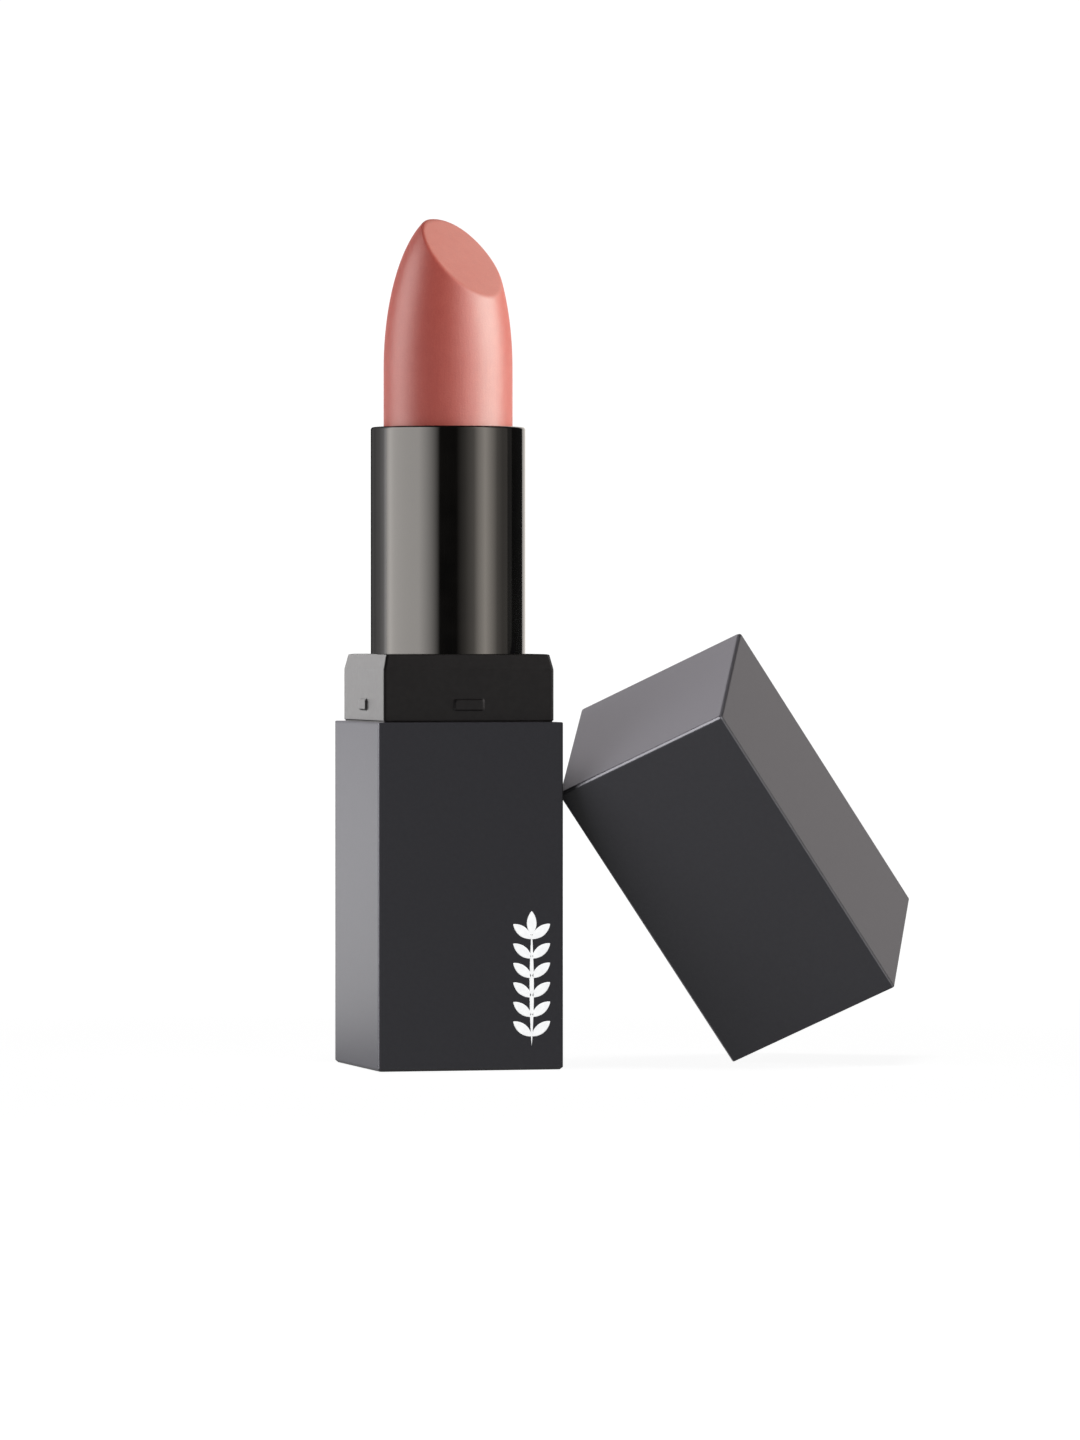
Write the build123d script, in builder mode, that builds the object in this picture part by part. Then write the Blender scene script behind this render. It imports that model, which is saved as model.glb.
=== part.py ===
from build123d import *
import os

# Lipstick case: a square base, a round turning tube, a twist-up bullet and a square pull-off cap.
# Millimetres. The origin is the middle of the base's underside, +Z is up, the front faces -Y.
# The case stands open: the bullet is wound fully up and the cap leans on the base's right side.

os.makedirs("parts", exist_ok=True)

# Driving dimensions: outside
case_side = 18.6  # the square of the base and of the cap
base_height = 33.95
cap_length = 33.8
shell_wall = 0.75
collar_rise = 6.65  # how far the collar stands out of the base
tube_radius = 7.62
tube_rise = 22.3  # tube above the collar
bullet_radius = 6.35
edge_round = 0.15
foot_bevel = 0.25

# Driving dimensions: mechanism
travel = 21.0  # rise of the bullet from fully down to fully up
twist_lead = 14.0  # rise for one whole turn
run_out_angle = 10.0  # degrees of spare groove past each end of the travel
running_gap = 0.05  # between turning and sliding surfaces
guide_wall = 0.35
spiral_wall = 0.42
lug_radius = 0.65
lug_clearance = 0.1

# Heights worked out from the driving dimensions
collar_side = case_side - 2 * shell_wall
collar_top = base_height + collar_rise
tube_top = collar_top + tube_rise
floor_thickness = 1.2
weight_height = 6.0
insert_bottom = floor_thickness + weight_height
shoulder_height = 28.2  # where the guide's flange rests in the collar insert
flange_thickness = 0.8
washer_thickness = 0.25
sleeve_bottom = shoulder_height + flange_thickness + washer_thickness + running_gap
guide_top = tube_top - 0.8
spiral_top = tube_top - 1.5
cup_top = tube_top - 1.2
cup_height = 9.0
cup_bottom = cup_top - cup_height
lug_height = cup_bottom + 1.0
lug_angle = (360 * travel / twist_lead + run_out_angle) % 180
lug_direction = Vector(1, 0).rotate(Axis.Z, lug_angle)
lug_plane = Plane((0, 0, 0), x_dir=lug_direction.rotate(Axis.Z, 90), z_dir=lug_direction)

# Radii, from the bullet outwards
guide_bore = bullet_radius + 0.1
guide_radius = guide_bore + guide_wall
spiral_bore = guide_radius + running_gap
spiral_radius = spiral_bore + spiral_wall
collar_bore = tube_radius + 2 * running_gap
tail_radius = 6.6
socket_bore = 6.9
socket_radius = 7.8


# Base shell: a square cup with eased edges and a shallow recess for the label
label_radius = 6.4
label_thickness = 0.2

with BuildPart() as base_shell:
    with BuildSketch():
        Rectangle(case_side, case_side)
    extrude(amount=base_height)
    chamfer(base_shell.edges().group_by(Axis.Z)[0], foot_bevel)
    fillet(base_shell.edges().filter_by(Axis.Z), edge_round)
    with BuildSketch(Plane.XY.offset(floor_thickness)):
        Rectangle(collar_side, collar_side)
    extrude(amount=base_height, mode=Mode.SUBTRACT)
    with BuildSketch():
        Circle(label_radius + running_gap)
    extrude(amount=label_thickness, mode=Mode.SUBTRACT)

base_shell.part.label = "base_shell"
export_step(base_shell.part, "parts/base_shell.step")


# Shade label: a plain disc, flush with the foot
with BuildPart() as shade_label:
    with BuildSketch():
        Circle(label_radius)
    extrude(amount=label_thickness)

shade_label.part.label = "shade_label"
export_step(shade_label.part, "parts/shade_label.step")


# Base weight: a steel slug with cut corners, glued to the shell's floor
weight_side = collar_side - 0.6

with BuildPart() as base_weight:
    with BuildSketch(Plane.XY.offset(floor_thickness)):
        Rectangle(weight_side, weight_side)
    extrude(amount=weight_height)
    chamfer(base_weight.edges().filter_by(Axis.Z), 1.5)
    chamfer(base_weight.edges().group_by(Axis.Z)[-1], 0.4)

base_weight.part.label = "base_weight"
export_step(base_weight.part, "parts/base_weight.step")


# Collar insert: a square tube inside the base shell, whose top is the collar that the cap grips.
# Its upper bore turns the outer tube, and its lower socket holds the guide's ribbed tail.
lead_in_height = 1.5
lead_in_angle = 13.0
insert_wall = 0.8
pocket_top = shoulder_height - 2.0
bump_length = 3.1
bump_height = 1.2
bump_rise = 0.2
bump_level = base_height + 1.7

with BuildPart() as collar_insert:
    with BuildSketch(Plane.XY.offset(insert_bottom)):
        Rectangle(collar_side, collar_side)
    extrude(amount=collar_top - lead_in_height - insert_bottom)
    fillet(collar_insert.edges().filter_by(Axis.Z), edge_round)
    with BuildSketch(Plane.XY.offset(collar_top - lead_in_height)):
        RectangleRounded(collar_side, collar_side, edge_round)
    extrude(amount=lead_in_height, taper=lead_in_angle)
    with BuildSketch(Plane.XY.offset(insert_bottom)):
        Rectangle(collar_side - 2 * insert_wall, collar_side - 2 * insert_wall)
        Circle(socket_radius, mode=Mode.SUBTRACT)
    extrude(amount=pocket_top - insert_bottom, mode=Mode.SUBTRACT)
    with BuildSketch(Plane.XY.offset(insert_bottom)):
        Circle(socket_bore)
    extrude(amount=collar_top - insert_bottom, mode=Mode.SUBTRACT)
    with BuildSketch(Plane.XY.offset(shoulder_height)):
        Circle(collar_bore)
    extrude(amount=collar_top - shoulder_height, mode=Mode.SUBTRACT)
    for outward in (Vector(0, -1), Vector(1, 0), Vector(0, 1), Vector(-1, 0)):
        face_middle = outward * (collar_side / 2) + Vector(0, 0, bump_level)
        sideways = outward.rotate(Axis.Z, 90)
        with BuildSketch(Plane(face_middle, x_dir=sideways, z_dir=outward)):
            RectangleRounded(bump_length, bump_height, 0.25)
        extrude(amount=bump_rise, taper=20)

collar_insert.part.label = "collar_insert"
export_step(collar_insert.part, "parts/collar_insert.step")


# Guide tube: fixed in the collar insert. Two upright slots keep the cup from turning,
# and a bead round its mouth snaps over the spiral sleeve and holds it down.
slot_width = 2 * (lug_radius + lug_clearance)
slot_low = lug_height - travel
guide_floor = 31.2
guide_floor_thickness = 0.8
tail_bottom = 14.0
tail_bore = 5.6
tail_ribs = 12
rib_width = 0.8
flange_radius = tube_radius - 0.02
bead_radius = spiral_radius - 0.17
ring_level = sleeve_bottom + 0.9
ring_groove_height = 0.6
ring_groove_radius = 6.35

with BuildPart() as guide_tube:
    with BuildSketch(Plane.XY.offset(tail_bottom)):
        Circle(tail_radius)
        with PolarLocations(tail_radius, tail_ribs):
            Rectangle(0.5, rib_width)
    extrude(amount=shoulder_height - tail_bottom)
    with BuildSketch(Plane.XY.offset(shoulder_height)):
        Circle(flange_radius)
    extrude(amount=flange_thickness)
    with BuildSketch(Plane.XY.offset(shoulder_height)):
        Circle(guide_radius)
    extrude(amount=guide_top - shoulder_height)
    with BuildSketch(Plane.XY.offset(spiral_top + 0.1)):
        Circle(bead_radius)
    extrude(amount=guide_top - spiral_top - 0.2)
    with BuildSketch(Plane.XY.offset(tail_bottom)):
        Circle(tail_bore)
    extrude(amount=guide_floor - guide_floor_thickness - tail_bottom, mode=Mode.SUBTRACT)
    with BuildSketch(Plane.XY.offset(guide_floor)):
        Circle(guide_bore)
    extrude(amount=guide_top - guide_floor, mode=Mode.SUBTRACT)
    with BuildSketch(Plane.XY.offset(ring_level - ring_groove_height / 2)):
        Circle(guide_radius + 0.1)
        Circle(ring_groove_radius, mode=Mode.SUBTRACT)
    extrude(amount=ring_groove_height, mode=Mode.SUBTRACT)
    with BuildSketch(lug_plane):
        with Locations((0, slot_low + travel / 2)):
            SlotCenterToCenter(travel, slot_width, rotation=90)
    extrude(amount=tube_radius, both=True, mode=Mode.SUBTRACT)
    with BuildSketch(Plane.XY.offset(guide_floor - guide_floor_thickness)):
        Circle(1.5)
    extrude(amount=guide_floor_thickness, mode=Mode.SUBTRACT)

guide_tube.part.label = "guide_tube"
export_step(guide_tube.part, "parts/guide_tube.step")


# Brake ring: a soft ring in the guide's groove that rubs the spiral sleeve and steadies the twist
ring_section = 0.23

with BuildPart() as brake_ring:
    with BuildSketch(Plane.XZ):
        with Locations((spiral_bore - ring_section - 0.02, ring_level)):
            Circle(ring_section)
    revolve(axis=Axis.Z)

brake_ring.part.label = "brake_ring"
export_step(brake_ring.part, "parts/brake_ring.step")


# Slip washer: a thin ring between the guide's flange and the turning sleeve
with BuildPart() as slip_washer:
    with BuildSketch(Plane.XY.offset(shoulder_height + flange_thickness)):
        Circle(tube_radius - 0.07)
        Circle(guide_radius + 0.2, mode=Mode.SUBTRACT)
    extrude(amount=washer_thickness)

slip_washer.part.label = "slip_washer"
export_step(slip_washer.part, "parts/slip_washer.step")


# Spiral sleeve: two helical grooves, half a turn apart, cut right through its thin wall
groove_depth = 1.2
run_out_rise = twist_lead * run_out_angle / 360

with BuildPart() as cam_groove:
    with BuildLine() as groove_path:
        Helix(
            pitch=twist_lead,
            height=travel + 2 * run_out_rise,
            radius=(spiral_bore + spiral_radius) / 2,
            center=(0, 0, slot_low - run_out_rise),
        )
    groove_start = Plane(groove_path.line @ 0, x_dir=(1, 0, 0), z_dir=groove_path.line % 0)
    with BuildSketch(groove_start):
        Rectangle(groove_depth, slot_width)
    sweep(path=groove_path.line, is_frenet=True)

with BuildPart() as spiral_sleeve:
    with BuildSketch(Plane.XY.offset(sleeve_bottom)):
        Circle(spiral_radius)
        Circle(spiral_bore, mode=Mode.SUBTRACT)
    extrude(amount=spiral_top - sleeve_bottom)
    for start_angle in (0, 180):
        add(cam_groove.part, rotation=(0, 0, start_angle), mode=Mode.SUBTRACT)

spiral_sleeve.part.label = "spiral_sleeve"
export_step(spiral_sleeve.part, "parts/spiral_sleeve.step")


# Outer tube: the glossy sleeve round the spiral, with a rounded rim turned in over its top
rim_round = 0.25
lip_thickness = 0.5
lip_bore = bullet_radius + 0.15

with BuildPart() as outer_tube:
    with BuildSketch(Plane.XY.offset(sleeve_bottom)):
        Circle(tube_radius)
    extrude(amount=tube_top - sleeve_bottom)
    fillet(outer_tube.edges().group_by(Axis.Z)[-1], rim_round)
    with BuildSketch(Plane.XY.offset(sleeve_bottom)):
        Circle(spiral_radius)
    extrude(amount=tube_top - lip_thickness - sleeve_bottom, mode=Mode.SUBTRACT)
    with BuildSketch(Plane.XY.offset(tube_top - lip_thickness)):
        Circle(lip_bore)
    extrude(amount=lip_thickness, mode=Mode.SUBTRACT)
    fillet(outer_tube.edges().group_by(Axis.Z)[-1].sort_by(SortBy.RADIUS)[0], 0.15)

outer_tube.part.label = "outer_tube"
export_step(outer_tube.part, "parts/outer_tube.step")


# Carrier cup: holds the bullet's stem, and its two lugs reach through the guide into the spiral
cup_radius = guide_bore - 0.07
cup_bore = 6.1
cup_seat = cup_bottom + 2.5
cup_ribs = 6
cup_rib_width = 0.4
cup_rib_rise = 0.15
cup_rib_top = cup_top - 1.5
lug_reach = spiral_radius - 0.1

with BuildPart() as carrier_cup:
    with BuildSketch(Plane.XY.offset(cup_bottom)):
        Circle(cup_radius)
    extrude(amount=cup_height)
    with BuildSketch(Plane.XY.offset(cup_seat)):
        Circle(cup_bore)
        with PolarLocations(cup_bore, cup_ribs):
            Rectangle(2 * cup_rib_rise, cup_rib_width, mode=Mode.SUBTRACT)
    extrude(amount=cup_rib_top - cup_seat, mode=Mode.SUBTRACT)
    with BuildSketch(Plane.XY.offset(cup_rib_top)):
        Circle(cup_bore)
    extrude(amount=cup_top - cup_rib_top, mode=Mode.SUBTRACT)
    with BuildSketch(Plane.XY.offset(cup_bottom)):
        Circle(4.6)
    extrude(amount=1.7, mode=Mode.SUBTRACT)
    with BuildSketch(Plane.XY.offset(cup_bottom)):
        Circle(1.25)
    extrude(amount=cup_height, mode=Mode.SUBTRACT)
    for side in (-1, 1):
        with BuildSketch(lug_plane.offset(side * 5.2)):
            with Locations((0, lug_height)):
                Circle(lug_radius)
        extrude(amount=side * (lug_reach - 5.2))

carrier_cup.part.label = "carrier_cup"
export_step(carrier_cup.part, "parts/carrier_cup.step")


# Bullet: a round stick with a half-ellipse dome, cut by one slanted face that looks front and right
dome_base = 68.7
dome_height = 15.6
dome_handle = 0.5523  # Bezier handle, in radii, that makes a quarter ellipse
slant_tilt = 47.5  # between the slanted face's normal and +Z
slant_heading = -57.8  # the way that the slanted face looks, from +X towards +Y
slant_level = 81.8  # where the slanted face crosses the axis

with BuildPart() as bullet:
    with BuildSketch(Plane.XY.offset(cup_seat)):
        Circle(cup_bore)
        with PolarLocations(cup_bore, cup_ribs):
            Rectangle(2 * cup_rib_rise, cup_rib_width, mode=Mode.SUBTRACT)
    extrude(amount=cup_top - cup_seat)
    with BuildSketch(Plane.XZ):
        with BuildLine():
            Line((0, cup_top), (bullet_radius, cup_top))
            Line((bullet_radius, cup_top), (bullet_radius, dome_base))
            Bezier(
                (bullet_radius, dome_base),
                (bullet_radius, dome_base + dome_handle * dome_height),
                (dome_handle * bullet_radius, dome_base + dome_height),
                (0, dome_base + dome_height),
            )
            Line((0, dome_base + dome_height), (0, cup_top))
        make_face()
    revolve(axis=Axis.Z)
    slant_turn = Location((0, 0, slant_level), (0, 0, slant_heading))
    slant_plane = Plane(slant_turn * Location((0, 0, 0), (0, slant_tilt, 0)))
    split(bisect_by=slant_plane, keep=Keep.BOTTOM)
    fillet(bullet.faces().filter_by(Axis(slant_plane.origin, slant_plane.z_dir)).edges(), 0.2)

bullet.part.label = "bullet"
export_step(bullet.part, "parts/bullet.step")


# Where the cap leans: its mouth's front left corner stands on the floor beside the base,
# and its closed end's front left corner rests against the base's right side.
cap_foot = (28.93, -0.8, -0.038)  # the sharp corner, before its edges are eased
cap_turn = (-22.27, 26.14, -27.69)  # about Z, then the turned X, then the turned Y
half_side = case_side / 2
cap_corner = Location(cap_foot, cap_turn, Intrinsic.ZXY)
cap_plane = Plane(cap_corner * Location((half_side, half_side, 0)))
cap_axis = Axis(cap_plane.origin, cap_plane.z_dir)

# Cap shell: a square cup that grips the collar, with a pocket for each of the collar's bumps
cap_wall = 0.65
cap_end_thickness = 1.0
cap_end_bevel = 0.3
cap_bore_side = case_side - 2 * cap_wall
pocket_depth = 0.2
pocket_length = bump_length + 0.4
pocket_height = bump_height + 0.3
pocket_level = bump_level - base_height

with BuildPart(cap_plane) as cap_shell:
    with BuildSketch(cap_plane):
        Rectangle(case_side, case_side)
    extrude(amount=cap_length)
    chamfer(cap_shell.edges().group_by(cap_axis)[-1], cap_end_bevel)
    fillet(cap_shell.edges().filter_by(cap_axis), edge_round)
    with BuildSketch(cap_plane):
        Rectangle(cap_bore_side, cap_bore_side)
    extrude(amount=cap_length - cap_end_thickness, mode=Mode.SUBTRACT)
    with BuildSketch(cap_plane.offset(pocket_level - pocket_height / 2)):
        Rectangle(cap_bore_side + 2 * pocket_depth, pocket_length)
        Rectangle(pocket_length, cap_bore_side + 2 * pocket_depth)
    extrude(amount=pocket_height, mode=Mode.SUBTRACT)

cap_shell.part.label = "cap_shell"
export_step(cap_shell.part, "parts/cap_shell.step")


# Cap liner: a glued-in sleeve with a round bore that clears the tube, hollow at its corners
liner_start = collar_rise + 0.4
liner_bore = 7.9
liner_top = cap_length - cap_end_thickness
liner_end_thickness = 0.8
liner_side = cap_bore_side - 0.1
liner_wall = 0.6

with BuildPart(cap_plane) as cap_liner:
    with BuildSketch(cap_plane.offset(liner_start)):
        Rectangle(liner_side, liner_side)
    extrude(amount=liner_top - liner_start)
    with BuildSketch(cap_plane.offset(liner_start)):
        Circle(liner_bore)
    extrude(amount=liner_top - liner_end_thickness - liner_start, mode=Mode.SUBTRACT)
    with BuildSketch(cap_plane.offset(liner_start + 1.0)):
        Rectangle(liner_side - 2 * liner_wall, liner_side - 2 * liner_wall)
        Circle(liner_bore + liner_wall, mode=Mode.SUBTRACT)
    extrude(amount=liner_top - liner_start - 1.0, mode=Mode.SUBTRACT)

cap_liner.part.label = "cap_liner"
export_step(cap_liner.part, "parts/cap_liner.step")

lowest_cap_point = cap_shell.part.bounding_box().min.Z
nearest_cap_point = cap_shell.part.bounding_box().min.X
print(f"lowest point of the cap {lowest_cap_point:.3f}, clear of the base by "
      f"{nearest_cap_point - half_side:.3f}")
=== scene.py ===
import math

import bpy
import numpy as np
from mathutils import Matrix, Vector


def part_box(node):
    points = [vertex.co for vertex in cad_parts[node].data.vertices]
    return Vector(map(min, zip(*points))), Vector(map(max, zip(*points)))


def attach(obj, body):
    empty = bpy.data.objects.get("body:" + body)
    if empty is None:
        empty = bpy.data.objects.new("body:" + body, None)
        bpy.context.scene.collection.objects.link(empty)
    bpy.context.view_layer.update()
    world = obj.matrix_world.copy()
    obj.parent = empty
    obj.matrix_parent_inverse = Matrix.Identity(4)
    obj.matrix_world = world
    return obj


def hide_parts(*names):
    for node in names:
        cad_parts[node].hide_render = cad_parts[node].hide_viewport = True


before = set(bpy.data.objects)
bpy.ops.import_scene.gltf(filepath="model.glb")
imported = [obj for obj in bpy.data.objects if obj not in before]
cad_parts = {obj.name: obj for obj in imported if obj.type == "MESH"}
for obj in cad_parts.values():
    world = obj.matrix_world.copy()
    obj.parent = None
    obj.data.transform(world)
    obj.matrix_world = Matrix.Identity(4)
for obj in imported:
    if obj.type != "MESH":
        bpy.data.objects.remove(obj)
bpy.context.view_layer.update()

mm = 0.001


# Mesh helpers: every new piece is a grid of points, worked out as whole arrays

def arc(centreR, centreZ, radius, fromDegrees, toDegrees, steps):
    # points of a round stretch: centre + radius * (cos a, sin a)
    a = np.radians(np.linspace(fromDegrees, toDegrees, steps + 1))
    return np.stack([centreR + radius * np.cos(a), centreZ + radius * np.sin(a)], 1)


def gridMesh(name, rings, startPole=None, endPole=None, loop=False):
    # rings[row, column] are points; columns wrap round, and a pole closes an end with a fan
    rows, columns = rings.shape[:2]
    points = rings.reshape(-1, 3)
    column = np.arange(columns)
    nextColumn = (column + 1) % columns
    row = np.arange(rows if loop else rows - 1)[:, None] * columns
    above = (row + columns) % (rows * columns)
    quads = np.stack([row + column, row + nextColumn, above + nextColumn, above + column], -1).reshape(-1, 4)
    faces = quads.tolist()
    if startPole is not None:
        points = np.vstack([points, startPole])
        hub = np.full(columns, len(points) - 1)
        faces += np.stack([nextColumn, column, hub], 1).tolist()
    if endPole is not None:
        points = np.vstack([points, endPole])
        hub = np.full(columns, len(points) - 1)
        last = (rows - 1) * columns
        faces += np.stack([last + column, last + nextColumn, hub], 1).tolist()
    mesh = bpy.data.meshes.new(name)
    mesh.from_pydata((points * mm).tolist(), [], faces)
    mesh.validate()
    mesh.shade_smooth()
    piece = bpy.data.objects.new(name, mesh)
    bpy.context.scene.collection.objects.link(piece)
    return piece


def revolved(name, profile, columns):
    # a closed profile (radius, height) carried round the Z axis: (r cos a, r sin a, z)
    a = np.linspace(0, 2 * np.pi, columns, endpoint=False)
    r = profile[:, 0:1]
    z = np.repeat(profile[:, 1:2], columns, 1)
    return gridMesh(name, np.stack([r * np.cos(a), r * np.sin(a), z], -1), loop=True)


def spacedProfile(profile, gap):
    # the same outline with extra points, so that no step is longer than gap
    pieces = []
    for first, last in zip(profile[:-1], profile[1:]):
        steps = max(1, int(np.ceil(np.linalg.norm(last - first) / gap)))
        pieces.append(first + (last - first) * np.linspace(0, 1, steps, endpoint=False)[:, None])
    return np.vstack(pieces + [profile[-1:]])


def eased(corners, steps=5, support=0.08):
    # a polyline whose corners are rounded: near a corner P it follows the quadratic curve from
    # P - e u to P + e v, where u and v are the directions in and out and e is the corner's last
    # value; its other values are carried along in the same way
    corners = np.array(corners, float)
    values, ease = corners[:, :-1], corners[:, -1]
    made = [values[:1]]
    for before, here, after, e in zip(values[:-2], values[1:-1], values[2:], ease[1:-1]):
        inLength = np.linalg.norm((here - before)[:2])
        outLength = np.linalg.norm((after - here)[:2])
        arrive = (before - here) / inLength
        leave = (after - here) / outLength
        nearIn = min(e + support, 0.45 * inLength)
        nearOut = min(e + support, 0.45 * outLength)
        e = min(e, 0.8 * nearIn, 0.8 * nearOut)
        t = np.linspace(0, 1, steps + 1)[:, None]
        start, end = here + arrive * e, here + leave * e
        curve = (1 - t) ** 2 * start + 2 * t * (1 - t) * here + t ** 2 * end
        made += [[here + arrive * nearIn], curve, [here + leave * nearOut]]
    return np.vstack(made + [values[-1:]])


def sideStations(fine=()):
    # where the points of one side stand, from -1 to 1 of its straight part; fine ones are denser
    plain = np.concatenate([[0.9885], np.linspace(0.3, 0.95, 9), fine, [0.0] if 0 not in fine else []])
    return np.unique(np.concatenate([-plain, plain, [-1, 1]]))


def caseRings(rows, stations, relief=None, cornerSteps=5):
    # rows hold (half side h, height, corner radius c, roundness); a ring mixes a rounded square and
    # a circle. On a side the straight part is (s (h - c), h), for s from -1 to 1, and the corner is
    # (h - c + c sin a, h - c + c cos a)
    h, z, c, k = (rows[:, i:i + 1] for i in range(4))
    a = np.radians(np.linspace(0, 90, cornerSteps + 2)[1:-1])
    along = np.hstack([stations * (h - c), h - c + c * np.sin(a)])
    out = np.hstack([np.repeat(h, len(stations), 1), h - c + c * np.cos(a)])
    if relief:
        out = out + relief(along, z, h)
    sides = []
    for turn in np.radians([-90, 0, 90, 180]):
        x = out * np.cos(turn) - along * np.sin(turn)
        y = out * np.sin(turn) + along * np.cos(turn)
        sides.append(np.stack([x, y], -1))
    square = np.concatenate(sides, 1)
    direction = square[:, :, :2] / np.linalg.norm(square, axis=2, keepdims=True)
    flat = (1 - k[:, :, None]) * square + k[:, :, None] * h[:, :, None] * direction
    return np.concatenate([flat, np.repeat(z, flat.shape[1], 1)[:, :, None]], 2)


def softRectangle(along, across, halfLength, halfHeight, corner, slope):
    # 1 inside a rounded rectangle, 0 outside, with a straight slope just inside its outline:
    # the distance is sqrt(dx^2 + dz^2) at a corner and the larger of dx and dz elsewhere, less the corner
    dx = np.abs(along) - halfLength + corner
    dz = np.abs(across) - halfHeight + corner
    distance = np.where((dx > 0) & (dz > 0), np.hypot(dx, dz), np.maximum(dx, dz)) - corner
    return np.clip(-distance / slope, 0, 1)


def halfWidth(node):
    # half of a node's width along X, in millimetres
    low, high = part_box(node)
    return (high.x - low.x) / 2 / mm


def markPaintedHighlight(piece, amounts):
    # how much painted highlight each point carries, from 0 to 1
    piece.data.attributes.new("rub", "FLOAT", "POINT").data.foreach_set("value", amounts)


def settle(piece, body, node, material):
    # hands the piece to the frame: what it rides on, what it stands for and what it is made of
    piece.data.materials.clear()
    piece.data.materials.append(material)
    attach(piece, body)
    if node:
        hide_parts(node)
    return piece


# Shader helpers

class Wire:  # wraps a socket, so that shader maths reads as Python maths
    def __init__(self, tree, socket=None):
        self.tree = tree
        self.socket = socket

    def node(self, kind, settings=None, inputs=None, output=0):
        # any node: its type, its settings, then the values or links of its sockets
        made = self.tree.nodes.new(kind)
        for name, value in (settings or {}).items():
            if name == "stops":
                ramp = made.color_ramp
                while len(ramp.elements) < len(value):
                    ramp.elements.new(0.5)
                for element, (position, colour) in zip(ramp.elements, value):
                    element.position = position
                    element.color = (*colour, 1)
            else:
                setattr(made, name, value)
        for name, value in (inputs or {}).items():
            if isinstance(value, Wire):
                self.tree.links.new(value.socket, made.inputs[name])
            else:
                made.inputs[name].default_value = value
        return Wire(self.tree, made.outputs[output] if made.outputs else None)

    def maths(self, operation, *values):
        return self.node("ShaderNodeMath", {"operation": operation}, dict(enumerate(values)))

    def __add__(self, other):
        return self.maths("ADD", self, other)

    def __radd__(self, other):
        return self.maths("ADD", other, self)

    def __sub__(self, other):
        return self.maths("SUBTRACT", self, other)

    def __rsub__(self, other):
        return self.maths("SUBTRACT", other, self)

    def __mul__(self, other):
        return self.maths("MULTIPLY", self, other)

    def __rmul__(self, other):
        return self.maths("MULTIPLY", other, self)

    def smooth(self, low, high):  # 0 below low, 1 above high, eased between
        return self.node("ShaderNodeMapRange", {"interpolation_type": "SMOOTHSTEP"},
                         {"Value": self, "From Min": low, "From Max": high})

    def mix(self, first, second):  # this wire is how much of the second colour there is
        named = {0: self, 6: first, 7: second}
        return self.node("ShaderNodeMix", {"data_type": "RGBA"}, named, 2)

    def noise(self, scale, detail=3.0, roughness=0.55, where=None):
        place = where or self.node("ShaderNodeTexCoord", output="Object")
        return self.node("ShaderNodeTexNoise", None,
                         {"Vector": place, "Scale": scale, "Detail": detail, "Roughness": roughness}, "Fac")

    def stretched(self, scale):  # object coordinates, squeezed by a scale for each axis
        place = self.node("ShaderNodeTexCoord", output="Object")
        return self.node("ShaderNodeMapping", None, {"Vector": place, "Scale": scale})

    def attribute(self, name):
        return self.node("ShaderNodeAttribute", {"attribute_name": name}, output="Fac")

    def bump(self, strength, distance):
        return self.node("ShaderNodeBump", None,
                         {"Height": self, "Strength": strength, "Distance": distance})


def rgb(red, green, blue):
    return (red, green, blue, 1)


def newMaterial(name, fixed, varying):
    # a Principled material: fixed values go straight on its sockets, varying ones are linked
    material = bpy.data.materials.new(name)
    material.use_nodes = True
    tree = material.node_tree
    tree.nodes.clear()
    start = Wire(tree)
    sockets = dict(fixed)
    sockets.update(varying(start))
    shader = start.node("ShaderNodeBsdfPrincipled", None, sockets)
    start.node("ShaderNodeOutputMaterial", None, {"Surface": shader})
    return material


# Soft-touch plastic of the base and the cap: charcoal, a fine even grain, faint mottling, and a painted
# highlight along the cap's edges

softTouchLook = {
    "dark": rgb(0.0255, 0.0255, 0.0285),
    "light": rgb(0.0295, 0.0295, 0.0325),
    # pale colour of the painted highlight on the cap's edges
    "highlightPaint": rgb(0.27, 0.265, 0.27),
    "mottle": 2600,
    "grain": 11000,
    "roughness": 0.31,
    "bump": 0.28,
}


def softTouchSurface(start):
    mottle = start.noise(softTouchLook["mottle"], 4)
    grain = start.noise(softTouchLook["grain"], 2)
    rub = start.attribute("rub")
    shade = (0.5 * mottle + 0.5 * grain).smooth(0.3, 0.7)
    plain = shade.mix(softTouchLook["dark"], softTouchLook["light"])
    return {
        # painted highlight: the colour turns pale where the rub attribute is set
        "Base Color": (rub * (0.6 + 0.4 * grain)).mix(plain, softTouchLook["highlightPaint"]),
        "Roughness": softTouchLook["roughness"] + 0.04 * mottle + 0.07 * grain,
        "Normal": (grain + 0.3 * mottle).bump(softTouchLook["bump"], 0.00002),
    }


softTouch = newMaterial("softTouch", {"IOR": 1.5}, softTouchSurface)


# Bare moulded plastic of the collar and the cap's liner: darker, a little smoother, with a painted highlight
# on the ends of the collar's snap bumps

collarLook = {
    "dark": rgb(0.0125, 0.0108, 0.0106),
    "light": rgb(0.0165, 0.0145, 0.0143),
    # pale colour of the painted highlight on the snap bumps' ends
    "highlightPaint": rgb(0.11, 0.105, 0.105),
    "mottle": 1800,
    "grain": 9000,
    "roughness": 0.42,
    "bump": 0.08,
}


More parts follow.
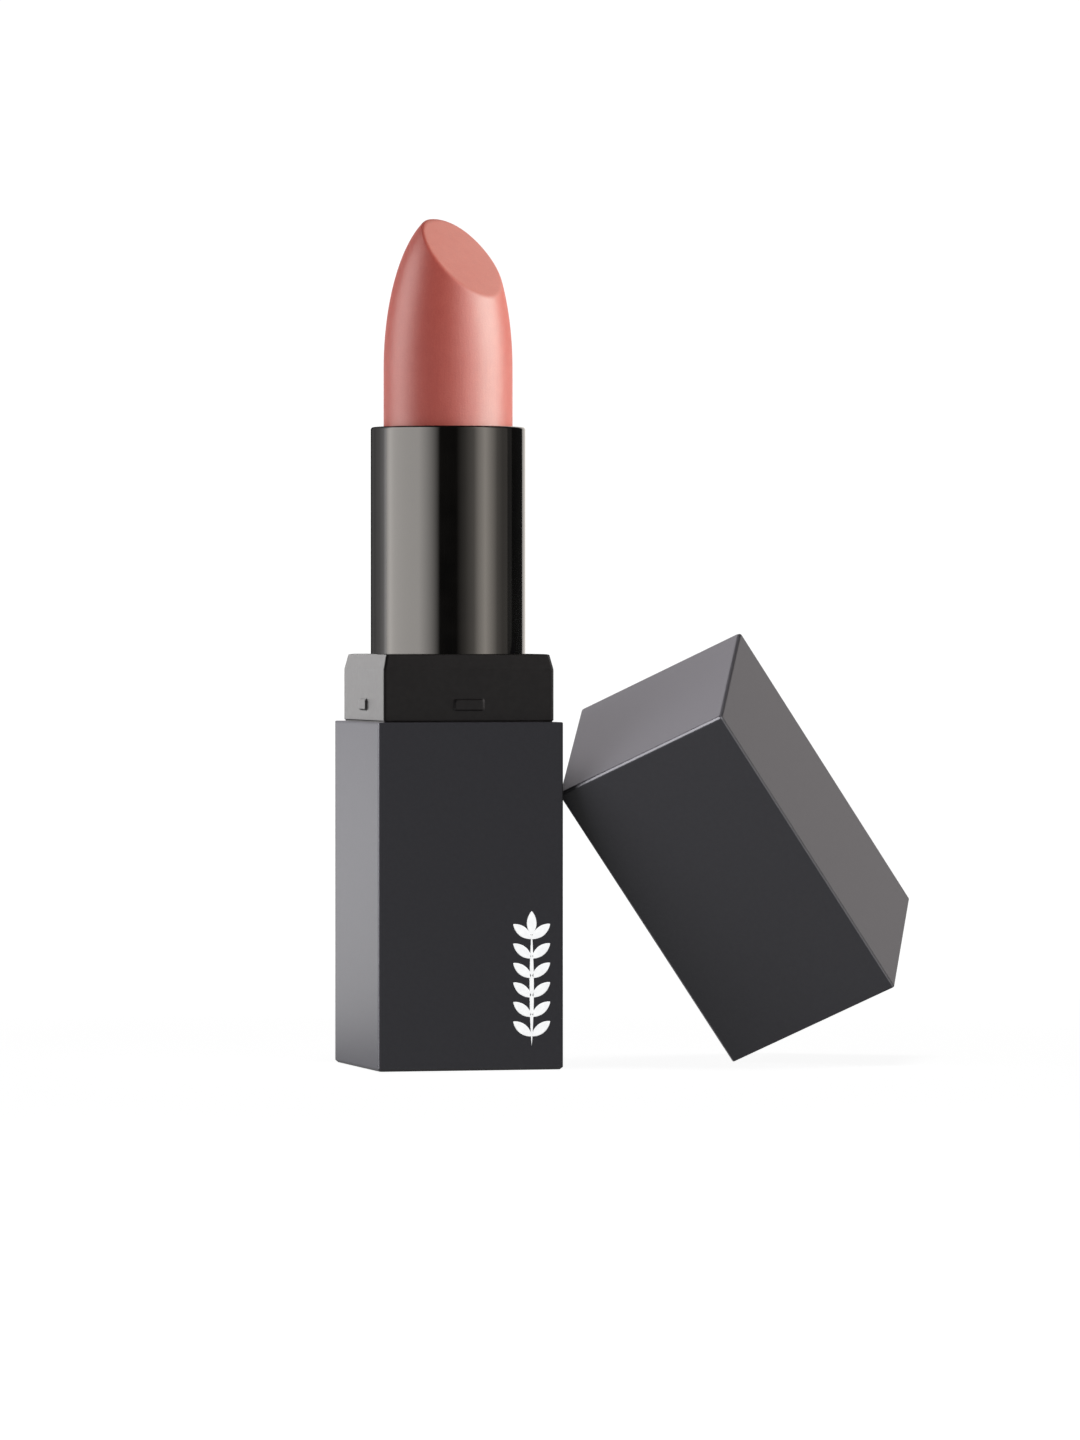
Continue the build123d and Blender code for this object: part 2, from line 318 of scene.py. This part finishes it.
def collarSurface(start):
    mottle = start.noise(collarLook["mottle"], 4)
    grain = start.noise(collarLook["grain"], 2)
    rub = start.attribute("rub")
    plain = mottle.smooth(0.3, 0.7).mix(collarLook["dark"], collarLook["light"])
    return {
        # painted highlight: the colour turns pale where the rub attribute is set
        "Base Color": (rub * (0.5 + 0.5 * grain)).mix(plain, collarLook["highlightPaint"]),
        "Roughness": collarLook["roughness"] + 0.08 * mottle,
        "Normal": (grain + 0.5 * mottle).bump(collarLook["bump"], 0.00002),
    }


collarPlastic = newMaterial("collarPlastic", {"IOR": 1.5}, collarSurface)


# Gloss black of the turning tube: lacquer over a brown-black body, faint waves and hairlines

glossLook = {
    "body": rgb(0.0012, 0.0011, 0.001),
    "tint": rgb(0.0022, 0.002, 0.0018),
    "waves": 260,
    "hairlines": (9000, 9000, 260),
    "roughness": 0.06,
    "bump": 0.03,
}


def glossSurface(start):
    waves = start.noise(glossLook["waves"], 2)
    hairlines = start.noise(1.0, 2, 0.5, start.stretched(glossLook["hairlines"]))
    return {
        "Base Color": waves.smooth(0.35, 0.65).mix(glossLook["body"], glossLook["tint"]),
        "Roughness": glossLook["roughness"] + 0.05 * hairlines.smooth(0.55, 0.8) + 0.03 * waves,
        "Normal": waves.bump(glossLook["bump"], 0.0001),
    }


glossBlack = newMaterial("glossBlack", {"IOR": 1.5}, glossSurface)


# Lip colour: satin wax with fine upright mould lines and a soft sheen

lipLook = {
    "deep": rgb(0.56, 0.103, 0.083),
    "pale": rgb(0.62, 0.133, 0.105),
    "streaks": (6500, 6500, 420),
    "cloud": 900,
    "pores": 7500,
    "roughness": 0.34,
    "bump": 0.5,
}


def lipSurface(start):
    streaks = start.noise(1.0, 3, 0.6, start.stretched(lipLook["streaks"]))
    cloud = start.noise(lipLook["cloud"], 3)
    pores = start.noise(lipLook["pores"], 2)
    shade = (0.3 * streaks + 0.3 * cloud + 0.4 * pores).smooth(0.3, 0.7)
    return {
        "Base Color": shade.mix(lipLook["deep"], lipLook["pale"]),
        "Roughness": lipLook["roughness"] + 0.08 * streaks + 0.1 * pores,
        "Normal": (0.6 * streaks + pores).bump(lipLook["bump"], 0.00003),
    }


lipColour = newMaterial(
    "lipColour",
    {"IOR": 1.8, "Subsurface Weight": 0.2, "Subsurface Radius": (0.0012, 0.0005, 0.0004),
     "Subsurface Scale": 1.0},
    lipSurface,
)


# Pale mechanism plastic, soft ring, steel, label and white print

def flecked(dark, light, scale, roughness, strength):
    # a moulded or rolled surface: two close colours mixed by noise, with a fine bump
    def surface(start):
        fleck = start.noise(scale, 4)
        fine = start.noise(scale * 9, 2)
        return {
            "Base Color": fleck.smooth(0.3, 0.7).mix(rgb(*dark), rgb(*light)),
            "Roughness": roughness + 0.1 * fleck,
            "Normal": (fine + fleck).bump(strength, 0.00003),
        }
    return surface


mechanismPlastic = newMaterial(
    "mechanismPlastic", {"IOR": 1.48},
    flecked((0.58, 0.57, 0.53), (0.66, 0.65, 0.61), 700, 0.38, 0.1))
softRing = newMaterial(
    "softRing", {"IOR": 1.42},
    flecked((0.2, 0.2, 0.21), (0.28, 0.28, 0.29), 900, 0.5, 0.1))
plainSteel = newMaterial(
    "plainSteel", {"Metallic": 1.0},
    flecked((0.42, 0.42, 0.43), (0.56, 0.56, 0.57), 500, 0.3, 0.15))
labelFilm = newMaterial(
    "labelFilm", {"IOR": 1.45},
    flecked((0.55, 0.2, 0.165), (0.6, 0.235, 0.195), 350, 0.45, 0.05))
whitePrint = newMaterial(
    "whitePrint", {"IOR": 1.5},
    flecked((0.82, 0.82, 0.82), (0.9, 0.9, 0.89), 1500, 0.42, 0.05))

print("materials ready")


# Base case: a square cup with eased edges, a bevelled foot and a round recess for the label

baseSize = {
    "wall": 0.75,
    "corner": 0.2,
    "footBevel": 0.25,
    "topEase": 0.14,
    "floor": 1.2,
    "recessRadius": 6.45,
    "recessDepth": 0.2,
}


def makeBase():
    s = baseSize
    half = halfWidth("base_shell")
    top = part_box("base_shell")[1].z / mm
    inner = half - s["wall"]
    rows = eased([
        (s["recessRadius"], s["recessDepth"], 0.2, 1, 0),
        (s["recessRadius"], 0, 0.2, 1, 0.03),
        (half - s["footBevel"], 0, s["corner"], 0, 0.05),
        (half, s["footBevel"], s["corner"], 0, 0.06),
        (half, top, s["corner"], 0, s["topEase"]),
        (inner, top, 0.1, 0, 0.08),
        (inner, s["floor"], 0.1, 0, 0.05),
        (inner - 2, s["floor"], 0.1, 0, 0),
    ])
    rings = caseRings(rows, sideStations())
    return gridMesh("baseCase", rings, [0, 0, s["recessDepth"]], [0, 0, s["floor"]])


settle(makeBase(), "base", "base_shell", softTouch)


# Collar sleeve: a square tube with a lead-in at its top, a thin undercut at the base's rim,
# a snap bump on each side, and a round bore for the tube

collarSize = {
    "corner": 0.24,
    "leadIn": 1.5,
    "leadInDrop": 0.35,
    "topEase": 0.12,
    "undercut": 0.1,
    "bore": 7.72,
    "socket": 6.9,
    "shoulder": 28.2,
    "bottom": 7.2,
    "bumpLevel": 1.7,  # above the base's rim
    "bumpHalfLength": 1.55,
    "bumpHalfHeight": 0.6,
    "bumpCorner": 0.28,
    "bumpSlope": 0.16,
    "bumpRise": 0.2,
}


def makeCollar():
    s = collarSize
    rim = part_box("base_shell")[1].z / mm
    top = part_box("collar_insert")[1].z / mm
    half = halfWidth("base_shell") - baseSize["wall"]
    level = rim + s["bumpLevel"]
    steps = np.array([-0.75, -0.62, -0.6, -0.56, -0.5, -0.44, -0.4, -0.3, -0.15, 0])
    bumpRows = [(half, level + step, s["corner"], 0, 0) for step in np.concatenate([steps, -steps[-2::-1]])]
    lower = eased([
        (half - 0.03, s["bottom"], s["corner"], 0, 0),
        (half - 0.03, rim - 0.2, s["corner"], 0, 0.02),
        (half - s["undercut"], rim - 0.1, s["corner"], 0, 0.02),
        (half - s["undercut"], rim + 0.1, s["corner"], 0, 0.02),
        (half, rim + 0.16, s["corner"], 0, 0.03),
        (half, level - 0.8, s["corner"], 0, 0),
    ])
    upper = eased([
        (half, level + 0.8, s["corner"], 0, 0),
        (half, top - s["leadIn"], s["corner"], 0, 0.1),
        (half - s["leadInDrop"], top, s["corner"], 0, s["topEase"]),
        (s["bore"], top, s["corner"], 1, 0.05),
        (s["bore"], s["shoulder"], s["corner"], 1, 0.03),
        (s["socket"], s["shoulder"], s["corner"], 1, 0.03),
        (s["socket"], s["bottom"], s["corner"], 1, 0),
    ])

    def bumps(along, z, h):
        lift = softRectangle(along, z - level, s["bumpHalfLength"], s["bumpHalfHeight"], s["bumpCorner"],
                             s["bumpSlope"])
        return s["bumpRise"] * lift * (np.abs(h - half) < 0.01)

    rows = np.vstack([lower, np.array(bumpRows)[:, :4], upper])
    straight = half - s["corner"]
    fine = np.array([0, 0.4, 0.8, 1.1, 1.25, 1.33, 1.39, 1.44, 1.5, 1.55, 1.58, 1.7]) / straight
    rings = caseRings(rows, sideStations(fine), bumps)
    piece = gridMesh("collarSleeve", rings, loop=True)
    x, y, z = (rings[:, :, i].ravel() for i in range(3))
    along = np.minimum(np.abs(x), np.abs(y))  # how far a point is from its side's middle line
    proud = (np.maximum(np.abs(x), np.abs(y)) - half) / s["bumpRise"]
    # painted highlight on the sloped ends of the snap bumps
    ends = np.clip((along - s["bumpHalfLength"] + 0.25) / 0.1, 0, 1)
    share = np.where(x - y * (x > y) < 0, 1, 0.35)  # painted highlight: one end of each bump is painted paler than the other, as on the side the light falls from
    slopes = np.clip(4 * proud * (1 - proud), 0, 1) * (np.abs(z - level) < s["bumpHalfHeight"])
    markPaintedHighlight(piece, ends * share * slopes)
    return piece


settle(makeCollar(), "base", "collar_insert", collarPlastic)


# Cap case: the same square as the base, with a bevelled closed end, and a pocket for each snap bump
# inside its mouth. It is made upright, mouth down, and then put where it leans.

capSize = {
    "wall": 0.65,
    "corner": 0.2,
    "length": 33.8,
    "endThickness": 1.0,
    "endBevel": 0.22,
    "pocketLevel": 1.7,
    "pocketHalfLength": 1.75,
    "pocketHalfHeight": 0.75,
    "pocketCorner": 0.2,
    "pocketSlope": 0.08,
    "pocketDepth": 0.2,
    # share of painted highlight on the closed end's bevel
    "bevelHighlight": 0.2,
    "foot": (28.93, -0.8, -0.038),
    "turn": (-22.27, 26.14, -27.69),  # about Z, then the turned X, then the turned Y
}


def capMatrix(half):
    s = capSize
    turn = (Matrix.Rotation(math.radians(s["turn"][0]), 3, "Z")
            @ Matrix.Rotation(math.radians(s["turn"][1]), 3, "X")
            @ Matrix.Rotation(math.radians(s["turn"][2]), 3, "Y"))
    return np.array(turn), np.array(s["foot"]) + np.array(turn) @ [half, half, 0]


def makeCap():
    s = capSize
    half = halfWidth("base_shell")
    inner = half - s["wall"]
    innerEnd = s["length"] - s["endThickness"]
    bevel = s["endBevel"]
    steps = np.array([-0.9, -0.78, -0.75, -0.68, -0.6, -0.5, -0.25, 0])
    levels = s["pocketLevel"] - np.concatenate([steps, -steps[-2::-1]])
    pocketRows = [(inner, level, 0.1, 0) for level in levels]
    lower = eased([
        (inner, 0.7, 0.1, 0, 0),
        (inner, 0, 0.1, 0, 0.12),
        (half, 0, s["corner"], 0, 0.14),
        (half, s["length"] - bevel, s["corner"], 0, 0.17),
        (half - bevel, s["length"], s["corner"], 0, 0.15),
        (half - 3, s["length"], s["corner"], 0, 0),
    ])
    upper = eased([
        (inner - 2, innerEnd, 0.1, 0, 0),
        (inner, innerEnd, 0.1, 0, 0.05),
        (inner, s["pocketLevel"] + 1.0, 0.1, 0, 0),
    ])

    def pockets(along, z, h):
        hollow = softRectangle(along, z - s["pocketLevel"], s["pocketHalfLength"], s["pocketHalfHeight"],
                               s["pocketCorner"], s["pocketSlope"])
        return s["pocketDepth"] * hollow * (np.abs(h - inner) < 0.01)

    rows = np.vstack([upper, np.array(pocketRows), lower])
    fine = np.array([0, 0.6, 1.2, 1.55, 1.67, 1.71, 1.75, 1.8, 1.95]) / (inner - 0.1)
    rings = caseRings(rows, sideStations(fine), pockets)
    turn, origin = capMatrix(half)
    ends = np.array([[0, 0, innerEnd], [0, 0, s["length"]]]) @ turn.T + origin
    piece = gridMesh("capCase", rings @ turn.T + origin, ends[0], ends[1])
    nearest = np.abs(rings[:, :, :2])  # painted highlight: most on the long corners, a little on the end's bevel
    corners = np.clip((nearest.min(2) - half + s["corner"]) / s["corner"] * 2, 0, 1)
    bevelled = (rings[:, :, 2] > s["length"] - bevel * 0.8) & (nearest.max(2) > half - bevel * 0.8)
    rub = np.maximum(corners, s["bevelHighlight"] * bevelled)
    markPaintedHighlight(piece, np.concatenate([rub.ravel(), [0, 0]]))
    return piece


settle(makeCap(), "cap", "cap_shell", softTouch)


# Turning tube: a revolved sleeve with a rounded rim turned in over the mechanism

tubeSize = {
    "columns": 256,
    "lipBore": 6.5,
    "lipThickness": 0.5,
    "bore": 7.27,
    "rimRound": 0.25,
    "lipRound": 0.15,
    "footEase": 0.05,
    "gap": 1.2,
}


def makeTube():
    s = tubeSize
    radius = halfWidth("outer_tube")
    bottom, top = (corner.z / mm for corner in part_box("outer_tube"))
    profile = np.vstack([
        [[radius - s["footEase"], bottom], [radius, bottom + s["footEase"]]],
        arc(radius - s["rimRound"], top - s["rimRound"], s["rimRound"], 0, 90, 8),
        arc(s["lipBore"] + s["lipRound"], top - s["lipRound"], s["lipRound"], 90, 180, 5),
        [[s["lipBore"], top - s["lipThickness"]], [s["bore"], top - s["lipThickness"]], [s["bore"], bottom]],
    ])
    return revolved("turningTube", spacedProfile(profile, s["gap"]), s["columns"])


settle(makeTube(), "twist_sleeve", "outer_tube", glossBlack)


# Bullet: stem in the cup, round body, half-ellipse dome, and one slanted face with a soft edge

bulletSize = {
    "columns": 288,
    "radius": 6.35,
    "stemRadius": 6.1,
    "stemBottom": 55.0,
    "shoulder": 61.5,
    "domeBase": 68.7,
    "domeHeight": 15.6,
    "slantTilt": 47.5,
    "slantHeading": -57.8,
    "slantLevel": 81.8,
    "edgeSoft": 0.34,
    "tipSoft": 0.8,
    "tipStart": 0.62,
    "tipFull": 0.86,
    "domeLine": 18.72,  # length of the dome's outline from its foot to its apex
    "crown": 0.06,
}


def makeBullet():
    s = bulletSize
    a = np.linspace(0, 2 * np.pi, s["columns"], endpoint=False)
    tilt = math.radians(s["slantTilt"])
    heading = math.radians(s["slantHeading"])
    flat = math.sin(tilt)
    normal = np.array([flat * math.cos(heading), flat * math.sin(heading), math.cos(tilt)])

    def domePoint(share):
        # half ellipse: (R cos b cos a, R cos b sin a, foot + H sin b), b being this share of a quarter turn
        b = share * np.pi / 2
        r = s["radius"] * np.cos(b)
        return np.stack([r * np.cos(a), r * np.sin(a), s["domeBase"] + s["domeHeight"] * np.sin(b)], -1)

    low = np.zeros(len(a))  # halving finds where each column's dome line meets the slanted plane
    high = np.ones(len(a))
    for _ in range(40):
        middle = (low + high) / 2
        over = (domePoint(middle) - [0, 0, s["slantLevel"]]) @ normal > 0
        high = np.where(over, middle, high)
        low = np.where(over, low, middle)
    edge = domePoint(low)
    centre = edge.mean(0)
    centre = centre - normal * ((centre - [0, 0, s["slantLevel"]]) @ normal)
    inward = centre - edge
    reach = np.linalg.norm(inward, axis=1, keepdims=True)
    tipward = np.clip((low - s["tipStart"]) / (s["tipFull"] - s["tipStart"]), 0, 1)
    soft = s["edgeSoft"] + s["tipSoft"] * tipward ** 2  # the edge is rounder towards the tip
    inner = edge + inward / reach * soft[:, None]
    outerShare = low - soft / s["domeLine"]
    outer = domePoint(outerShare)

    wall = spacedProfile(np.array([
        [s["stemRadius"] - 0.2, s["stemBottom"]], [s["stemRadius"], s["stemBottom"] + 0.2],
        [s["stemRadius"], s["shoulder"]], [s["radius"] - 0.08, s["shoulder"]],
        [s["radius"], s["shoulder"] + 0.08], [s["radius"], s["domeBase"]]]), 0.5)
    rings = [np.stack([r * np.cos(a), r * np.sin(a), np.full(len(a), z)], -1) for r, z in wall]
    rings += [domePoint(outerShare * share) for share in np.linspace(0.03, 1, 40)]
    for t in np.linspace(0.15, 1, 7):  # the softened edge: a quadratic curve over the corner
        rings.append((1 - t) ** 2 * outer + 2 * t * (1 - t) * edge + t ** 2 * inner)
    for share in np.linspace(0.08, 0.94, 16):  # the slanted face, very slightly crowned
        rings.append(inner + (centre - inner) * share + normal * s["crown"] * share * (2 - share))
    foot = [0, 0, s["stemBottom"]]
    return gridMesh("lipBullet", np.array(rings), foot, centre + normal * s["crown"])


settle(makeBullet(), "carrier", "bullet", lipColour)


# White ornament printed on the front: a sprig of leaves on a stem, standing upright

sprigSize = {
    "middle": 6.1,  # to the right of the twist axis
    "bottom": 2.4,
    "height": 13.1,
    "leafPairs": 6,
    "leafLength": 2.35,
    "leafWidth": 0.98,
    "leafTurn": 38,  # degrees of a leaf above the level
    "stem": 0.22,
    "ink": 0.02,
}


def leafRings(length, width, ink, across=10, along=28):
    # a flat lens: half width = width/2 * sin(pi t)^0.75, top and bottom joined at the rim
    t = np.linspace(0.0, 1.0, along)
    half = width / 2 * np.sin(np.pi * np.clip(t, 0.004, 0.996)) ** 0.75
    turn = np.linspace(0, 2 * np.pi, 2 * across, endpoint=False)
    x = np.repeat((t * length)[:, None], len(turn), 1)
    side = half[:, None] * np.cos(turn)
    lift = ink * np.clip(2.5 * np.sin(turn), -1, 1) * np.minimum(1, half[:, None] / 0.1)
    return np.stack([x, side, lift], -1)


def placedLeaf(rings, turn, x, z, faceY):
    # turns a leaf by an angle in the front plane and puts its foot at (x, z), on the face
    c = math.cos(math.radians(turn))
    s = math.sin(math.radians(turn))
    along, side, lift = rings[..., 0], rings[..., 1], rings[..., 2]
    return np.stack([x + along * c - side * s, faceY - lift, z + along * s + side * c], -1)


def makeSprig():
    s = sprigSize
    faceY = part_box("base_shell")[0].y / mm
    stemTop = s["bottom"] + s["height"] - s["leafLength"]
    leaf = leafRings(s["leafLength"], s["leafWidth"], s["ink"])
    stem = leafRings(stemTop - s["bottom"] + 0.4, s["stem"] * 2, s["ink"])
    made = []
    for level in np.linspace(s["bottom"] + 0.9, stemTop - 0.35, s["leafPairs"]):
        for turn in (s["leafTurn"], 180 - s["leafTurn"]):
            made.append(placedLeaf(leaf, turn, s["middle"], level, faceY))
    made.append(placedLeaf(leaf, 90, s["middle"], stemTop, faceY))
    made.append(placedLeaf(stem, 90, s["middle"], s["bottom"], faceY))
    pieces = [gridMesh(f"ink{i}", rings, rings[0].mean(0), rings[-1].mean(0)) for i, rings in enumerate(made)]
    bpy.ops.object.select_all(action="DESELECT")
    for piece in pieces:
        piece.select_set(True)
    bpy.context.view_layer.objects.active = pieces[0]
    bpy.ops.object.join()
    pieces[0].name = "printedSprig"
    return pieces[0]


settle(makeSprig(), "base", None, whitePrint)

print("pieces ready")


# CAD nodes that stay, with their finishes

nodeFinish = {
    "cap_liner": collarPlastic,
    "guide_tube": mechanismPlastic,
    "spiral_sleeve": mechanismPlastic,
    "carrier_cup": mechanismPlastic,
    "slip_washer": mechanismPlastic,
    "brake_ring": softRing,
    "base_weight": plainSteel,
    "shade_label": labelFilm,
}
for nodeName, finish in nodeFinish.items():
    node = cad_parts[nodeName]
    node.data.materials.clear()
    node.data.materials.append(finish)


# Camera

cameraView = {
    "lens": 200,
    "distance": 0.7881,
    "azimuth": -14.54,
    "elevation": 0.66,
    "aside": 0.00905,
    "height": 0.03408,
}


def makeCamera():
    v = cameraView
    azimuth = math.radians(v["azimuth"])
    elevation = math.radians(v["elevation"])
    right = Vector((math.cos(azimuth), math.sin(azimuth), 0))
    back = Vector((math.sin(azimuth) * math.cos(elevation), -math.cos(azimuth) * math.cos(elevation),
                   math.sin(elevation)))
    target = right * v["aside"] + Vector((0, 0, v["height"]))
    lens = bpy.data.cameras.new("camera")
    lens.lens = v["lens"]
    lens.sensor_width = 36
    lens.clip_start = 0.01
    lens.clip_end = 20
    camera = bpy.data.objects.new("camera", lens)
    bpy.context.scene.collection.objects.link(camera)
    camera.location = target + back * v["distance"]
    camera.rotation_euler = back.to_track_quat("Z", "Y").to_euler()
    bpy.context.scene.camera = camera


makeCamera()


# Stage: a white floor, a white surround, and soft boxes that each light one kind of piece

stageLook = {
    "floorGlow": 0.93,  # what the camera sees of the floor before the overhead box adds to it
    "floorBounce": 0.3,  # what the pieces see of it in front of them
    "backBounce": 1.38,  # and behind them
    "surround": 1.05,
    "ambient": 0.03,
    "boxDistance": 0.5,
    "boxCentre": 0.045,
}


floorSize = {
    "columns": 96,
    "radii": (1500, 600, 200, 60),
    "level": -0.03,  # just under the base, so the two surfaces don't share a plane
    "apron": (0.06, 0.3),  # the glow rises to full between these distances, in metres
    "turnBack": (0, 0.12),  # and the bounce changes from front to back between these
}


def makeFloor():
    # rings round the twist axis: (r cos a, r sin a, level)
    s = floorSize
    a = np.linspace(0, 2 * np.pi, s["columns"], endpoint=False)
    level = np.full(len(a), s["level"])
    rings = np.array([np.stack([r * np.cos(a), r * np.sin(a), level], -1) for r in s["radii"]])
    floor = gridMesh("floor", rings, None, [0, 0, s["level"]])
    material = bpy.data.materials.new("whiteFloor")
    material.use_nodes = True
    tree = material.node_tree
    tree.nodes.clear()
    start = Wire(tree)
    seen = start.node("ShaderNodeLightPath", output="Is Camera Ray")
    cloud = start.noise(6, 2)
    place = start.node("ShaderNodeTexCoord", output="Object")
    azimuth = math.radians(cameraView["azimuth"])
    backwards = (-math.sin(azimuth), math.cos(azimuth), 0)
    away = start.node("ShaderNodeVectorMath", {"operation": "DOT_PRODUCT"}, {0: place, 1: backwards}, "Value")
    extra = stageLook["backBounce"] - stageLook["floorBounce"]
    bounce = stageLook["floorBounce"] + extra * away.smooth(*s["turnBack"])
    distance = start.node("ShaderNodeVectorMath", {"operation": "LENGTH"}, {0: place}, "Value")
    pale = stageLook["floorGlow"] + 0.01 * cloud + 0.1 * distance.smooth(*s["apron"])
    glowStrength = seen * pale + (1 - seen) * bounce
    matte = start.node("ShaderNodeBsdfDiffuse", None, {"Color": rgb(0.5, 0.5, 0.5)})
    glow = start.node("ShaderNodeEmission", None, {"Color": rgb(1, 1, 1), "Strength": glowStrength})
    both = start.node("ShaderNodeAddShader", None, {0: matte, 1: glow})
    start.node("ShaderNodeOutputMaterial", None, {"Surface": both})
    floor.data.materials.append(material)


makeFloor()

lightGroups = {  # which pieces each kind of soft box lights
    "shell": ["baseCase", "capCase", "shade_label", "base_weight"],
    "print": ["printedSprig"],
    "collar": ["collarSleeve", "cap_liner", "guide_tube", "slip_washer", "brake_ring", "spiral_sleeve"],
    "tube": ["turningTube"],
    "bullet": ["lipBullet", "carrier_cup"],
    "floor": ["floor"],
}

# A box is its group, its azimuths from the camera's side of the twist axis, plus to its left, its levels
# above the floor, its radiance and colour, and for some the brightness across it
softBoxes = {
    "shellLeft": ("shell", (35, 100), (-10, 45), 9.8, (1, 0.98, 1.05), None),
    "shellRight": ("shell", (-100, -40), (0, 50), 0.45, (1, 0.98, 1.03), None),
    "shellBehindLeft": ("shell", (125, 180), (-12, 22), 0.66, (1, 0.98, 1.04), None),
    "shellBehindHigh": ("shell", (130, 185), (22, 50), 1.65, (1, 0.95, 1.01), None),
    "shellBehindRight": ("shell", (-170, -120), (-5, 35), 1.0, (1, 0.94, 0.95), None),
    "collarBehindLeft": ("collar", (100, 175), (-10, 30), 2.6, (1, 0.98, 0.98), None),
    "collarRight": ("collar", (-100, -50), (-10, 45), 2.3, (1, 0.96, 0.95), None),
    "tubeLeft": ("tube", (8, 104), (-45, 45), 6.9, (1, 0.95, 0.9),
                 [(0, 0), (0.06, 0), (0.24, 0.5), (0.4, 0.95), (0.75, 0.93), (0.87, 1), (1, 0.55)]),
    "tubeLeftEdge": ("tube", (104, 155), (-45, 45), 3.6, (1, 0.97, 0.96),
                     [(0, 1), (0.16, 0.36), (0.39, 0.15), (0.7, 0.05), (1, 0.05)]),
    "tubeRightSide": ("tube", (-110, -100), (-45, 45), 0.16, (1, 0.94, 0.88), None),
    "tubeRightEdge": ("tube", (-178, -146), (-45, 45), 1.3, (1, 0.94, 0.88), None),
    "tubeRight": ("tube", (-100, -10), (-45, 45), 5.2, (1, 0.92, 0.83),
                  [(0, 0.1), (0.16, 0.12), (0.28, 0.22), (0.38, 0.6), (0.48, 1), (0.57, 0.66), (0.64, 0.28),
                   (0.78, 0.11), (0.95, 0), (1, 0)]),
    "bulletLeft": ("bullet", (70, 115), (-20, 40), 3.4, (1, 0.9, 0.86), None),
    "bulletRight": ("bullet", (-105, -60), (-20, 40), 6.7, (0.7, 1.02, 0.95), None),
    "bulletFrontRight": ("bullet", (-60, -25), (-20, 40), 2.7, (1, 0.8, 0.77), None),
    "bulletBehind": ("bullet", (150, 210), (-20, 40), 0.7, (1, 0.72, 0.68), None),
    "printFront": ("print", (-60, 20), (-10, 60), 2.7, (0.99, 1, 1.01), None),
    "bulletHigh": ("bullet", (-150, -110), (28, 58), 1.1, (0.62, 1, 0.88), None),
    "overhead": ("floor", (0, 20), (75, 90), 4, (1, 1, 1), None),
}


def softBox(name, group, span, levels, radiance, colour, stops):
    # a rectangle on a sphere round the object that covers the two spans of angles, facing its middle;
    # its power is radiance * area * pi
    distance = stageLook["boxDistance"]
    azimuth = math.radians(cameraView["azimuth"] - (span[0] + span[1]) / 2)
    level = math.radians((levels[0] + levels[1]) / 2)
    flat = math.cos(level)
    away = Vector((math.sin(azimuth) * flat, -math.cos(azimuth) * flat, math.sin(level)))
    data = bpy.data.lights.new(name, "AREA")
    data.shape = "RECTANGLE"
    data.size = 2 * distance * math.tan(math.radians(span[1] - span[0]) / 2)
    data.size_y = 2 * distance * math.tan(math.radians(levels[1] - levels[0]) / 2)
    data.energy = radiance * data.size * data.size_y * math.pi
    data.color = colour
    if stops:  # brightness across the box, from its first angle to its second
        data.use_nodes = True
        data.node_tree.nodes.clear()
        start = Wire(data.node_tree)
        across = start.node("ShaderNodeNewGeometry", output="Parametric")
        share = 1 - start.node("ShaderNodeSeparateXYZ", None, {"Vector": across}, "X")
        grey = [(position, (value, value, value)) for position, value in stops]
        ramp = start.node("ShaderNodeValToRGB", {"stops": grey}, {"Fac": share})
        glow = start.node("ShaderNodeEmission", None, {"Color": ramp, "Strength": 1.0})
        start.node("ShaderNodeOutputLight", None, {"Surface": glow})
    light = bpy.data.objects.new(name, data)
    bpy.context.scene.collection.objects.link(light)
    light.location = Vector((0, 0, stageLook["boxCentre"])) + away * distance
    light.rotation_euler = away.to_track_quat("Z", "Y").to_euler()
    light.visible_camera = False
    light.light_linking.receiver_collection = groups[group]


groups = {}
for groupName, members in lightGroups.items():
    groups[groupName] = bpy.data.collections.new(groupName + "Lit")
    for member in members:
        groups[groupName].objects.link(bpy.data.objects.get(member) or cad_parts[member])
for boxName, settings in softBoxes.items():
    softBox(boxName, *settings)


def makeWorld():
    world = bpy.data.worlds.new("studio")
    bpy.context.scene.world = world
    world.use_nodes = True
    tree = world.node_tree
    tree.nodes.clear()
    start = Wire(tree)
    seen = start.node("ShaderNodeLightPath", output="Is Camera Ray")
    strength = seen * stageLook["surround"] + (1 - seen) * stageLook["ambient"]
    glow = start.node("ShaderNodeBackground", None, {"Color": rgb(1, 1, 1), "Strength": strength})
    start.node("ShaderNodeOutputWorld", None, {"Surface": glow})


makeWorld()
bpy.context.scene.view_settings.view_transform = "Standard"

print("stage ready")
